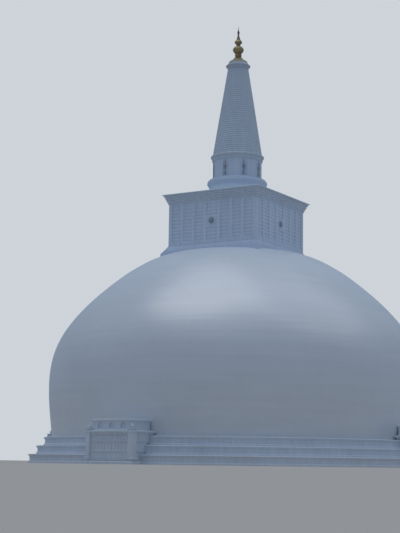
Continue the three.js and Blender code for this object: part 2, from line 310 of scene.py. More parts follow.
# The dome: a solid bubble of brick, plastered smooth and painted white. It stands almost upright
# on its terrace, turns in at a shoulder and runs up to a flat crown under the square chamber.
DOME_OUTLINE = [
    (41.1, 5.6),
    (41.5, 9.0),
    (41.85, 12.3),
    (42.06, 15.6),
    (42.04, 19.0),
    (41.61, 22.4),
    (40.66, 25.65),
    (39.15, 28.7),
    (37.22, 31.5),
    (35.03, 34.07),
    (32.71, 36.42),
    (30.31, 38.58),
    (27.88, 40.6),
    (25.44, 42.45),
    (22.91, 44.1),
    (20.2, 45.6),
    (17.3, 46.75),
    (14.2, 47.5),
    (9.0, 48.1),
    (0, 48.3),
]
DOME_CLEAN = (0.785, 0.845, 0.91, 1)
DOME_STAINED = (0.58, 0.62, 0.665, 1)
DARKENS_BELOW = 30.0
DARKENING_PER_METRE = 0.0286
MOST_DARKENING = 0.2


def smoothed(points, steps):
    """Points on a smooth curve that passes through the given ones."""
    padded = [points[0], *points, points[-1]]
    curve = []
    for before, start, end, after in zip(padded, padded[1:], padded[2:], padded[3:]):
        for share in [step / steps for step in range(steps)]:
            point = []
            for a, b, c, d in zip(before, start, end, after):
                bend = (2 * a - 5 * b + 4 * c - d) * share**2 + (3 * b - a - 3 * c + d) * share**3
                point.append(0.5 * (2 * b + (c - a) * share + bend))
            curve.append(tuple(point))
    curve.append(points[-1])
    return curve


def dome_paint():
    """Satin paint over plaster floated in rings, painted darker and darker below a height towards the foot.
    """
    finish = Finish("dome_paint", {"IOR": 1.75, "Specular IOR Level": 0.8})
    level = finish.vector("MULTIPLY", finish.place(), (0, 0, 0.05))
    runs = finish.noise(finish.vector("ADD", finish.bearing(), level), 38.0, detail=5.0, roughness=0.6)
    courses = finish.noise((0.05, 0.05, 1), 9.0, detail=3.0)
    clouds = finish.noise((1, 1, 1.6), 0.7, detail=5.0)
    tooth = finish.noise((1, 1, 1), 45.0, detail=3.0)
    lower_darkening = ((DARKENS_BELOW - finish.height()) * DARKENING_PER_METRE).at_most(MOST_DARKENING)
    stain = (clouds * 0.5 + runs * 0.17 + courses * 0.45 + lower_darkening).clamped()
    return finish.given(
        {
            "Base Color": finish.mixed(stain, DOME_CLEAN, DOME_STAINED),
            "Roughness": 0.3 + (clouds - 0.5) * 0.1 + (courses - 0.5) * 0.08,
            "Normal": finish.raised(tooth, 0.001, 0.4, finish.raised(courses, 0.006, 0.5)),
        }
    )


outline = [(0, DOME_OUTLINE[0][1]), *smoothed(DOME_OUTLINE, 6)]
fitted(turned(outline, GREAT_ROUND_SIDES), "plastered_dome", dome_paint(), "dome_paint", "dome")

# The altars: a masonry front at each side of the dome, as high as the terraces and half as much
# again. Courses of mouldings carry a row of panels, a row of bosses and an attic with three arches.
ALTAR_PLINTH_HALF = 5.6
ALTAR_WALL_HALF = 5.0
ALTAR_WALL_FRONT = 48.8
ALTAR_BACK = 41.4
ATTIC_HALF = 4.4
ATTIC_FRONT = 48.2
ATTIC_NICHES = (-2.7, 0.0, 2.7)
ATTIC_NICHE = {"half_width": 0.62, "sill": 6.95, "spring": 7.45}
STRING_COURSES = ((0.9, 1.2), (2.3, 2.7), (4.2, 4.5))
PANEL_POSTS = 12
PANEL_PITCH = 0.8
DENTILS = 25
DENTIL_PITCH = 0.4
BOSSES = 11
BOSS_PITCH = 0.82
BOSS_HEIGHT = 4.97
PILASTER_X = 5.0
# Shaft, foot, capital, pedestal cap and pedestal: half width, front, back, foot, top, rounding.
PILASTER_COURSES = (
    (0.5, -49.2, -47.6, 0.9, 6.2, 0.04),
    (0.62, -49.32, -47.5, 0.9, 1.35, 0.05),
    (0.6, -49.3, -47.5, 6.0, 6.3, 0.05),
    (0.62, -49.32, -47.5, 6.75, 6.95, 0.05),
    (0.45, -49.15, -47.65, 6.3, 6.75, 0.04),
)
VASE_Y = -48.4
SLIVER = 0.00005
TO_FRONT = Matrix.Rotation(math.pi / 2, 4, "X")
QUARTERS = ["front", "right", "back", "left"]


def new_block(low, high):
    """A box between two corners in real metres, with its place in its mesh."""
    middle = [(a + b) / 2 * METRE for a, b in zip(low, high)]
    size = [(b - a) * METRE for a, b in zip(low, high)]
    bpy.ops.mesh.primitive_cube_add(size=1, location=middle, scale=size)
    bpy.ops.object.transform_apply()
    return bpy.context.object


def with_modifier(piece, kind, settings):
    """Adds one modifier to a piece and applies it."""
    bpy.ops.object.select_all(action="DESELECT")
    bpy.context.view_layer.objects.active = piece
    piece.select_set(True)
    modifier = piece.modifiers.new(kind.lower(), kind)
    for setting, value in settings.items():
        setattr(modifier, setting, value)
    bpy.ops.object.modifier_apply(modifier=modifier.name)


def eased(piece, width, segments=2):
    """Rounds the edges of a piece by that many real metres."""
    settings = {"width": width * METRE, "segments": segments, "limit_method": "ANGLE", "angle_limit": 0.6}
    with_modifier(piece, "BEVEL", settings)
    bpy.ops.object.shade_smooth_by_angle(angle=SOFT_EDGE)
    return piece


def shift(x, y, z):
    """The move by that many real metres."""
    return Matrix.Translation((x * METRE, y * METRE, z * METRE))


def tiered(x_half, y_low, y_high, tiers):
    """A four-sided piece raised tier by tier: each tier is (outward offset, height)."""
    first_offset, first_height = tiers[0]
    middle, y_half = (y_low + y_high) / 2, (y_high - y_low) / 2
    bpy.ops.mesh.primitive_plane_add(size=2 * METRE)
    piece = bpy.context.object
    piece.data.transform(Matrix.Diagonal((x_half + first_offset, y_half + first_offset, 1, 1)))
    piece.data.transform(shift(0, middle, first_height))
    bpy.ops.object.mode_set(mode="EDIT")
    bpy.ops.mesh.select_all(action="SELECT")
    for (offset, height), (next_offset, next_height) in zip(tiers, tiers[1:]):
        rise = (0, 0, (next_height - height) * METRE)
        bpy.ops.mesh.extrude_region_move(TRANSFORM_OT_translate={"value": rise})
        reach = ((x_half + next_offset) / (x_half + offset), (y_half + next_offset) / (y_half + offset), 1)
        bpy.ops.transform.resize(value=reach, center_override=(0, middle * METRE, 0))
    return closed(piece)


def joined(parts):
    """Joins the parts into the first one."""
    bpy.ops.object.select_all(action="DESELECT")
    for part in parts:
        part.select_set(True)
    bpy.context.view_layer.objects.active = parts[0]
    bpy.ops.object.join()
    return parts[0]


def twin(piece, transform):
    """A copy of a piece with a mesh of its own, moved by that transform."""
    copy = piece.copy()
    copy.data = piece.data.copy()
    bpy.context.scene.collection.objects.link(copy)
    copy.data.transform(transform)
    return copy


def row_of(piece, count, pitch):
    """A row of that many along X, with the piece itself at its left end."""
    return [twin(piece, shift(pitch * place, 0, 0)) for place in range(1, count)] + [piece]


def at_side(side, piece, name, material, slot, node):
    """Fits a copy of a piece, which is modelled for the front, at one side."""
    copy = twin(piece, Matrix.Rotation(QUARTERS.index(side) * math.pi / 2, 4, "Z"))
    fitted(copy, f"{name}_{side}", material, slot, f"{node}_{side}")


def removed(*pieces):
    """Takes away the models that copies were made of."""
    for piece in pieces:
        bpy.data.objects.remove(piece)


def arch_panel(half_width, sill, spring, near, far, steps=12):
    """A round-headed panel that faces -Y, from its near face to its far one."""
    piece = new_point((half_width * METRE, near * METRE, sill * METRE))
    drawn((0, 0, (spring - sill) * METRE))
    crown = (0, near * METRE, spring * METRE)
    bpy.ops.mesh.spin(steps=steps, angle=math.pi, center=crown, axis=(0, 1, 0))
    drawn((0, 0, (sill - spring) * METRE))
    bpy.ops.mesh.select_all(action="SELECT")
    bpy.ops.mesh.remove_doubles(threshold=WELD)
    bpy.ops.mesh.edge_face_add()
    depth = {"value": (0, (far - near) * METRE, 0)}
    bpy.ops.mesh.extrude_region_move(TRANSFORM_OT_translate=depth)
    return closed(piece)


def carved(piece, cutter):
    """Cuts the shape of the cutter out of a piece and merges the slivers that this leaves."""
    with_modifier(piece, "BOOLEAN", {"object": cutter, "operation": "DIFFERENCE", "solver": "EXACT"})
    bpy.ops.object.mode_set(mode="EDIT")
    bpy.ops.mesh.select_all(action="SELECT")
    bpy.ops.mesh.remove_doubles(threshold=SLIVER)
    bpy.ops.object.mode_set(mode="OBJECT")


def moulded(foot, top, reach):
    """The tiers of a course with a rounded face between two fillets."""
    band = (top - foot) * 0.2
    return [
        (0, foot),
        (reach * 0.5, foot),
        (reach * 0.5, foot + band),
        *swell((reach * 0.6, foot + band), (reach * 0.6, top - band), reach * 0.4),
        (reach * 0.7, top - band),
        (reach * 0.7, top),
        (0, top),
    ]


def altar_course(half, front, tiers):
    """A course of the altar, from its front back into the dome."""
    return tiered(half, -front, -ALTAR_BACK, tiers)


plinth = altar_course(
    ALTAR_PLINTH_HALF - 0.2,
    ALTAR_WALL_FRONT + 0.4,
    [
        (0.2, 0),
        (0.2, 0.35),
        *swell((0.16, 0.37), (-0.05, 0.62), 0.05),
        (-0.1, 0.64),
        (-0.1, 0.74),
        *swell((0.0, 0.76), (-0.02, 0.9), 0.05),
        (-0.15, 0.92),
    ],
)
wall = altar_course(ALTAR_WALL_HALF, ALTAR_WALL_FRONT, [(0, 0.9), (0, 5.9)])
strings = [
    altar_course(ALTAR_WALL_HALF, ALTAR_WALL_FRONT, moulded(foot, top, 0.27))
    for foot, top in STRING_COURSES
]
cornice = altar_course(
    ALTAR_WALL_HALF,
    ALTAR_WALL_FRONT,
    [
        (0, 5.7),
        (0.1, 5.7),
        *swell((0.12, 5.8), (0.42, 6.12), -0.06),
        (0.5, 6.16),
        (0.54, 6.2),
        (0.54, 6.44),
        (0.45, 6.5),
        (0.3, 6.55),
    ],
)
attic = altar_course(ATTIC_HALF, ATTIC_FRONT, [(0.12, 6.5), (0.12, 6.7), (0, 6.8), (0, 8.2)])
cap_tiers = [(0, 8.1), (0.08, 8.12), *swell((0.1, 8.2), (0.28, 8.4), -0.04), (0.3, 8.6), (0.1, 8.7)]
attic_cap = altar_course(ATTIC_HALF, ATTIC_FRONT, cap_tiers)
for niche_x in ATTIC_NICHES:
    niche = arch_panel(**ATTIC_NICHE, near=-ATTIC_FRONT - 0.3, far=-ATTIC_FRONT + 0.25)
    niche.data.transform(shift(niche_x, 0, 0))
    carved(attic, niche)
    bpy.data.objects.remove(niche)
bpy.ops.object.shade_smooth_by_angle(angle=SOFT_EDGE)

front_face = -ALTAR_WALL_FRONT
panel_post = eased(new_block((-4.5, front_face - 0.1, 2.7), (-4.3, front_face + 0.1, 4.2)), 0.02)
panel_posts = row_of(panel_post, PANEL_POSTS, PANEL_PITCH)
dentil = eased(new_block((-4.9, front_face - 0.22, 5.45), (-4.72, front_face + 0.1, 5.7)), 0.02)
dentils = row_of(dentil, DENTILS, DENTIL_PITCH)
boss = turned([(0, 0), (0.26, 0), (0.26, 0.05), (0.2, 0.07), *swell((0.17, 0.05), (0, 0.16), 0.05, 4)], 12)
boss.data.transform(shift(-BOSS_PITCH * (BOSSES - 1) / 2, front_face, BOSS_HEIGHT) @ TO_FRONT)
bosses = row_of(boss, BOSSES, BOSS_PITCH)
pilaster_parts = []
for half, front, back, foot, top, edge in PILASTER_COURSES:
    course = new_block((-PILASTER_X - half, front, foot), (-PILASTER_X + half, back, top))
    pilaster_parts.append(eased(course, edge))
vase_body = swell((0.2, 7.1), (0.16, 7.6), 0.24)
vase = turned([(0, 6.9), (0.3, 6.95), (0.22, 7.05), *vase_body, (0.24, 7.66), (0.08, 7.8), (0, 8.1)], 20)
vase.data.transform(shift(-PILASTER_X, VASE_Y, 0))
pilaster = joined([*pilaster_parts, vase])
other_pilaster = twin(pilaster, shift(2 * PILASTER_X, 0, 0))
relief = [*panel_posts, *dentils, *bosses, pilaster, other_pilaster]
altar = joined([plinth, wall, *strings, cornice, attic, attic_cap, *relief])
for side in QUARTERS:
    at_side(side, altar, "carved_altar", terrace_wash, "whitewash", "altar")
removed(altar)

# The plinth of the square chamber: a flared skirt of plaster whose lip beds into the crown of the
# dome, lowest at its four corners.
CHAMBER_HALF = 11.4
PLINTH_REACH = 1.3


def shaded_by_facing(piece, washes, beneath=1.0, above=1.0):
    """Gives a piece its washes: for its sides, for faces that look down, where shade is painted, and
    for ledges that look up, where shade is painted on tops that the lamps overhead light. The limits are
    for the fall and rise of normals."""
    tinted(piece, *washes)
    for face in piece.data.polygons:
        if face.normal.z < -beneath:
            face.material_index = 1
        elif face.normal.z > above:
            face.material_index = 2


skirt = tiered(
    CHAMBER_HALF,
    -CHAMBER_HALF,
    CHAMBER_HALF,
    [
        (PLINTH_REACH, 45.7),
        (PLINTH_REACH, 47.25),
        (PLINTH_REACH - 0.06, 47.38),
        *swell((PLINTH_REACH - 0.1, 47.42), (0.14, 48.95), -0.02, 8),
        (0.1, 49.0),
        (0.1, 49.1),
    ],
)
wall_wash = limewash("wall_limewash", (0.63, 0.74, 0.88))
# The slope is painted darker towards its lip at the dome, and its wash is a little darker than the walls'
# as painted shade under the cornice.
lip_darkening = ((0.45, 0.56, 0.73), 48.6, 47.6)
slope_shade_wash = limewash("slope_shade_limewash", (0.60, 0.71, 0.87), 0.65, lip_darkening)
shaded_by_facing(skirt, (wall_wash, wall_wash, slope_shade_wash), above=0.3)
fitted(skirt, "chamber_skirt", None, "whitewash", "chamber_plinth")

# The railing of the chamber: on each side eight posts stand on a plain sill and carry a head,
# with eleven rounded rails in the bays between them, all raised in plaster on the solid core.
POST_WIDTH = 0.9
MIDDLE_BAY = 2.75
BAYS = 7
CORE_HALF = 10.95
RAIL_FACE = 11.32
RAIL_BACK = 11.0
RAIL_BACKING = 11.22
KERB_FACE = 11.27
POST_BACK = 11.27
SILL_TOP = 49.97
HEAD_FOOT = 58.6
CHAMBER_FOOT = 49.1
CHAMBER_TOP = 58.8
BEDDING = 0.15
RAILS = 11
RAIL_PITCH = 0.8
RAIL_HEIGHT = 0.53
FIELD_FOOT = 52.8
FIELD_TOP = 55.6

tinted(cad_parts["chamber_core"], wall_wash)


def cut_across(point, normal):
    """Cuts the slab in edit mode along the plane through a point in real metres."""
    bpy.ops.mesh.select_all(action="SELECT")
    bpy.ops.mesh.bisect(plane_co=[v * METRE for v in point], plane_no=normal)


def railing_frame(half_length):
    """A slab cut through at every bay, so that posts, sill, head and the disc's field remain. It is
    bedded a little in the plinth below and in the cornice above."""
    bay = (2 * CHAMBER_HALF - (BAYS + 1) * POST_WIDTH - MIDDLE_BAY) / (BAYS - 1)
    widths = [MIDDLE_BAY if place == BAYS // 2 else bay for place in range(BAYS)]
    lefts = [-CHAMBER_HALF + POST_WIDTH * (place + 1) + sum(widths[:place]) for place in range(BAYS)]
    rise = CHAMBER_TOP - CHAMBER_FOOT + 2 * BEDDING
    bpy.ops.mesh.primitive_plane_add(size=METRE)
    slab = bpy.context.object
    slab.data.transform(Matrix.Diagonal((2 * half_length, rise, 1, 1)))
    slab.data.transform(shift(0, -CHAMBER_HALF, (CHAMBER_FOOT + CHAMBER_TOP) / 2) @ TO_FRONT)
    bpy.ops.object.mode_set(mode="EDIT")
    for left, width in zip(lefts, widths):
        cut_across((left, 0, 0), (1, 0, 0))
        cut_across((left + width, 0, 0), (1, 0, 0))
    for height in (SILL_TOP, FIELD_FOOT, FIELD_TOP, HEAD_FOOT):
        cut_across((0, 0, height), (0, 0, 1))
    bpy.ops.mesh.select_all(action="DESELECT")
    mesh = bmesh.from_edit_mesh(slab.data)
    for face in mesh.faces:
        x, _, z = face.calc_center_median() / METRE
        in_field = abs(x) < MIDDLE_BAY / 2 and FIELD_FOOT < z < FIELD_TOP
        in_bay = any(left < x < left + width for left, width in zip(lefts, widths))
        face.select_set(in_bay and SILL_TOP < z < HEAD_FOOT and not in_field)
    bmesh.update_edit_mesh(slab.data)
    bpy.ops.mesh.delete(type="FACE")
    bpy.ops.object.mode_set(mode="OBJECT")
    with_modifier(slab, "SOLIDIFY", {"thickness": (CHAMBER_HALF - POST_BACK) * METRE, "offset": -1})
    return eased(slab, 0.025)


def railing_rails(half_length):
    """One rounded rail, repeated upwards on a thin backing, with a kerb under the lowest."""
    left, right = -half_length, half_length
    top = SILL_TOP + RAIL_PITCH
    foot = top - RAIL_HEIGHT
    backing = new_block((left, -RAIL_BACKING, CHAMBER_FOOT), (right, -CORE_HALF, CHAMBER_TOP))
    kerb = new_block((left, -KERB_FACE, CHAMBER_FOOT), (right, -CORE_HALF, foot))
    rail = eased(new_block((left, -RAIL_FACE, foot), (right, -RAIL_BACK, top)), 0.08, 3)
    rise = {"count": RAILS, "use_relative_offset": False, "use_constant_offset": True}
    rise["constant_offset_displace"] = (0, 0, RAIL_PITCH * METRE)
    with_modifier(rail, "ARRAY", rise)
    return joined([backing, kerb, rail])


# The front and back run the full width, and the two other sides fit between them.
full_width = (railing_frame(CHAMBER_HALF), railing_rails(POST_BACK))
between = (railing_frame(POST_BACK), railing_rails(CORE_HALF))
for side, (posts, rails) in zip(QUARTERS, (full_width, between, full_width, between)):
    at_side(side, posts, "railing_posts", wall_wash, "whitewash", "posts")
    at_side(side, rails, "railing_rails", wall_wash, "whitewash", "rails")
removed(*full_width, *between)

# The sun disc at the middle of each side: a moulded ring of plaster around a domed boss of petals
# that is painted dark.
DISC_HEIGHT = 54.2
DISC_RADIUS = 1.15
BOSS_RADIUS = 0.72
PETALS = 16
PETAL_GROOVE = 0.11
PETAL_INNER = 0.3
PETAL_OUTER = 0.94 * BOSS_RADIUS
PETAL_FOOT = 0.1


def picked(piece, wanted):
    """Goes into edit mode with only those points of a piece selected that the test wants."""
    bpy.ops.object.mode_set(mode="EDIT")
    bpy.ops.mesh.select_mode(type="VERT")
    bpy.ops.mesh.select_all(action="DESELECT")
    mesh = bmesh.from_edit_mesh(piece.data)
    for point in mesh.verts:
        point.select_set(wanted(point.co))
    bmesh.update_edit_mesh(piece.data)


def on_groove(place, grooves, sides):
    """Tells whether a point of a turned piece is on one of its evenly spaced grooves."""
    side = round(math.atan2(place.y, place.x) / math.tau * sides)
    return side % (sides // grooves) == 0


def between_petals(place):
    """Tells whether a point of the boss is in a groove between two petals."""
    reach = math.hypot(place.x, place.y) / METRE
    on_petals = PETAL_INNER < reach < PETAL_OUTER and place.z > PETAL_FOOT * METRE
    return on_petals and on_groove(place, PETALS, PETALS * 2)


def dark_relief():
    """Dark paint over plaster, worn in small patches."""
    finish = Finish("disc_paint", {"IOR": 1.45})
    patches = finish.noise((1, 1, 1), 22.0)
    wear = finish.noise((1, 1, 1), 90.0, detail=3.0)
    colour = finish.mixed((patches * 2.0 - 0.6).clamped(), (0.24, 0.31, 0.35, 1), (0.35, 0.42, 0.48, 1))
    tooth = finish.raised(wear, 0.001, 0.5)
    return finish.given({"Base Color": colour, "Roughness": 0.45 + wear * 0.3, "Normal": tooth})


ring = turned(
    [
        (0, 0),
        (DISC_RADIUS, 0),
        (DISC_RADIUS, 0.05),
        *swell((DISC_RADIUS - 0.02, 0.06), (DISC_RADIUS - 0.2, 0.18), 0.07),
        (DISC_RADIUS - 0.24, 0.16),
        *swell((DISC_RADIUS - 0.27, 0.1), (BOSS_RADIUS + 0.02, 0.06), -0.02),
        (0, 0.05),
    ],
    48,
)
dome_of_boss = swell((BOSS_RADIUS * 0.96, 0.12), (0.2, 0.36), 0.07, 6)
boss_outline = [(0, 0.02), (BOSS_RADIUS, 0.02), (BOSS_RADIUS, 0.08), *dome_of_boss, (0, 0.4)]
boss = turned(boss_outline, PETALS * 2)
picked(boss, between_petals)
bpy.ops.transform.translate(value=(0, 0, -PETAL_GROOVE * METRE))
bpy.ops.object.mode_set(mode="OBJECT")
with_modifier(boss, "SUBSURF", {"levels": 1, "render_levels": 1})
disc = joined([tinted(ring, wall_wash), tinted(boss, dark_relief())])
disc.data.transform(shift(0, -CHAMBER_HALF, DISC_HEIGHT) @ TO_FRONT)
for side in QUARTERS:
    at_side(side, disc, "sun_boss", None, "disc_relief", "sun_disc")
removed(disc)

# The cornice and roof of the chamber: four corbelled courses lean out over the walls to a sharp
# lip, and a low hipped roof of plaster sheds the rain.
CORBELS = 4
LIP_FOOT = 60.78
CORNICE_TOP = 61.0
ROOF_TOP = 61.5
ROOF_SLOPE_END = 7.2
ROOF_HEAD_HALF = 6.9
LIP_REACH = 1.2

rise = (LIP_FOOT - CHAMBER_TOP) / CORBELS
reach = (LIP_REACH - 0.35) / CORBELS
tiers = []
for corbel in range(CORBELS):
    foot = CHAMBER_TOP + rise * corbel
    offset = 0.15 + reach * corbel
    tiers += [(offset - 0.06, foot), (offset + 0.05, foot + 0.05), (offset + 0.05, foot + rise * 0.55)]
    tiers += swell((offset, foot + rise * 0.6), (offset + reach - 0.1, foot + rise), -0.04, 3)
tiers += [(LIP_REACH - 0.05, LIP_FOOT), (LIP_REACH, LIP_FOOT + 0.06), (LIP_REACH, CORNICE_TOP - 0.05)]
tiers += [(LIP_REACH - 0.06, CORNICE_TOP), (0, CORNICE_TOP + 0.02)]
cornice = tiered(CHAMBER_HALF, -CHAMBER_HALF, CHAMBER_HALF, tiers)
cornice_wash = limewash("cornice_limewash", (0.61, 0.70, 0.81), 0.65)
cornice_shade = limewash("cornice_shade_limewash", (0.595, 0.67, 0.765), 0.75)
shaded_by_facing(cornice, (cornice_wash, cornice_shade), beneath=0.3)
fitted(cornice, "corbelled_cornice", None, "whitewash", "chamber_cornice")

roof_half = CHAMBER_HALF + LIP_REACH - 0.5
roof = tiered(
    roof_half,
    -roof_half,
    roof_half,
    [
        (0, CORNICE_TOP - 0.05),
        (0, CORNICE_TOP + 0.1),
        (-0.05, CORNICE_TOP + 0.15),
        (ROOF_SLOPE_END - roof_half, ROOF_TOP - 0.02),
        (ROOF_HEAD_HALF - roof_half, ROOF_TOP),
    ],
)
fitted(roof, "hipped_roof", wall_wash, "whitewash", "chamber_roof")

# The drum: a round tower of brick on a moulded foot, with eight arched niches, one over each side
# and each corner of the chamber, and a ring at its head from which the spire springs.
DRUM_FOOT = 65.6
DRUM_TOP = 69.8
DRUM_RADIUS = 5.65
NICHES = 8
NICHE_HALF = 0.52
NICHE_DEPTH = 0.1
NICHE_SILL = 65.85
NICHE_SPRING = 68.9
ARCH_WIDTH = 0.1
PIER_INNER = 0.66
PIER_OUTER = 0.78
PIER_TOP = 68.7
IMPOST_TOP = 68.86
HOOD_FOOT = 69.46
SPIRE_FOOT = 71.2
DRUM_SIDES = 144

drum_foot = turned(
    [
        (0, ROOF_TOP - 0.1),
        (6.56, ROOF_TOP - 0.1),
        (6.56, 61.9),
        (6.46, 62.0),
        (6.46, 63.3),
        *swell((6.47, 63.34), (6.62, 63.86), -0.04),
        *swell((6.64, 63.92), (6.58, 65.3), 0.36, 10),
        (6.5, 65.36),
        *swell((6.36, 65.42), (5.98, 65.55), -0.02),
        (5.9, DRUM_FOOT),
        (0, DRUM_FOOT),
    ],
    DRUM_SIDES,
)
# The foot is painted darker from its cavetto up over the torus, and its ledges that look up get a darker
# wash, painted shade on tops that the lamps overhead light.
foot_darkening = ((0.565, 0.66, 0.78), 63.3, 63.8)
foot_wash = limewash("drum_foot_limewash", (0.70, 0.81, 0.91), 0.6, foot_darkening)
ledge_shade_wash = limewash("ledge_shade_limewash", (0.47, 0.58, 0.735), 0.75)
shaded_by_facing(drum_foot, (foot_wash, foot_wash, ledge_shade_wash), above=0.45)
fitted(drum_foot, "drum_mouldings", None, "whitewash", "drum_foot")

drum = turned(
    [
        (0, DRUM_FOOT - 0.02),
        (DRUM_RADIUS + 0.1, DRUM_FOOT - 0.02),
        (DRUM_RADIUS + 0.1, DRUM_FOOT + 0.08),
        (DRUM_RADIUS, DRUM_FOOT + 0.12),
        (DRUM_RADIUS, DRUM_TOP + 0.02),
        (0, DRUM_TOP + 0.02),
    ],
    DRUM_SIDES,
)
face = -DRUM_RADIUS
hollow = arch_panel(NICHE_HALF, NICHE_SILL, NICHE_SPRING, face - 1, face + NICHE_DEPTH)
turns = [Matrix.Rotation(place * math.tau / NICHES, 4, "Z") for place in range(NICHES)]
for turn in turns:
    cutter = twin(hollow, turn)
    carved(drum, cutter)
    bpy.data.objects.remove(cutter)
bpy.ops.object.shade_smooth_by_angle(angle=SOFT_EDGE)
drum_wash = limewash("drum_limewash", (0.60, 0.70, 0.83))
fitted(drum, "niched_drum", drum_wash, "whitewash", "drum")

arch_half, arch_foot = NICHE_HALF + ARCH_WIDTH, NICHE_SILL - ARCH_WIDTH
surround = arch_panel(arch_half, arch_foot, NICHE_SPRING, face - 0.05, face + 0.08)
carved(surround, hollow)
eased(surround, 0.02)
bpy.data.objects.remove(hollow)
sill = new_block((-PIER_OUTER, face - 0.12, 65.72), (PIER_OUTER, face + 0.15, NICHE_SILL))
pier_parts = [eased(sill, 0.03)]
for hand in (-1, 1):
    low, high = sorted((hand * PIER_INNER, hand * PIER_OUTER))
    pier = new_block((low, face - 0.02, 65.8), (high, face + 0.2, PIER_TOP))
    impost = new_block((low - 0.04, face - 0.06, PIER_TOP), (high + 0.04, face + 0.2, IMPOST_TOP))
    pier_parts += [eased(pier, 0.02), eased(impost, 0.03)]
hood = turned([(0, 0), (0.13, 0), *swell((0.13, 0.03), (0.0, 0.34), 0.04, 4)], 12)
hood.data.transform(shift(0, face - 0.02, HOOD_FOOT))
surround = joined([surround, *pier_parts, hood])
surrounds = joined([surround, *[twin(surround, turn) for turn in turns[1:]]])
fitted(surrounds, "niche_surrounds", drum_wash, "whitewash")

drum_ring = turned(
    [
        (0, DRUM_TOP),
        (5.8, DRUM_TOP),
        (5.8, 69.92),
        (5.88, 69.96),
        (5.88, 70.12),
        (5.82, 70.16),
        (5.82, 70.24),
        *swell((5.88, 70.28), (6.1, 70.66), -0.05, 6),
        (6.14, 70.7),
        *swell((6.16, 70.74), (6.16, 71.04), 0.05, 5),
        (6.02, 71.08),
        (5.9, 71.14),
        (5.86, SPIRE_FOOT),
        (0, SPIRE_FOOT),
    ],
    DRUM_SIDES,
)
ring_shade = limewash("ring_shade_limewash", (0.556, 0.626, 0.70), 0.75)
shaded_by_facing(drum_ring, (drum_wash, ring_shade), beneath=0.1)
fitted(drum_ring, "drum_crown_ring", None, "whitewash", "drum_cornice")

# The figures: a standing guardian in each niche, modelled in plaster and painted. Each stands on
# a lotus with its hands together, in a long robe, a broad collar and a tall tiered crown.
FIGURE_RADIUS = DRUM_RADIUS - 0.06
FIGURE_WIDTH = 0.9
FIGURE_DEPTH = 0.38


def painted(name, colour, worn, rough=0.55):
    """Paint on plaster that has worn down to a second colour in patches and small chips."""
    finish = Finish(name, {"IOR": 1.45})
    patches = finish.noise((1, 1, 0.4), 30.0)
    chips = finish.noise((1, 1, 1), 160.0, detail=3.0)
    tint = finish.mixed((patches * 1.6 + chips * 0.7 - 0.8).clamped(), colour, worn)
    tooth = finish.raised(chips, 0.0006, 0.4)
    roughness = rough + (chips - 0.5) * 0.3
    return finish.given({"Base Color": tint, "Roughness": roughness, "Normal": tooth})


skin = painted("skin_paint", (0.36, 0.33, 0.35, 1), (0.42, 0.41, 0.43, 1))
gilt_paint = painted("gilt_paint", (0.32, 0.31, 0.29, 1), (0.25, 0.26, 0.28, 1), 0.42)
stand_paint = painted("lotus_paint", (0.27, 0.35, 0.42, 1), (0.34, 0.41, 0.49, 1))
ROBES = [
    (
        painted("red_robe", (0.33, 0.24, 0.30, 1), (0.30, 0.26, 0.33, 1)),
        painted("green_skirt", (0.25, 0.34, 0.40, 1), (0.30, 0.39, 0.46, 1)),
    ),
    (
        painted("blue_robe", (0.18, 0.26, 0.36, 1), (0.22, 0.30, 0.41, 1)),
        painted("indigo_skirt", (0.21, 0.30, 0.41, 1), (0.27, 0.36, 0.47, 1)),
    ),
]


def limb(start, end, start_radius, end_radius):
    """A rounded limb between two points in real metres."""
    start, end = Vector(start), Vector(end)
    length = (end - start).length
    piece = turned(
        [
            *swell((0, -start_radius), (start_radius, 0), start_radius * 0.2, 3),
            (end_radius, length),
            *swell((end_radius, length + 0.001), (0, length + end_radius), end_radius * 0.2, 3),
        ],
        12,
    )
    aim = (end - start).to_track_quat("Z", "Y").to_matrix().to_4x4()
    piece.data.transform(shift(*start) @ aim)
    return piece


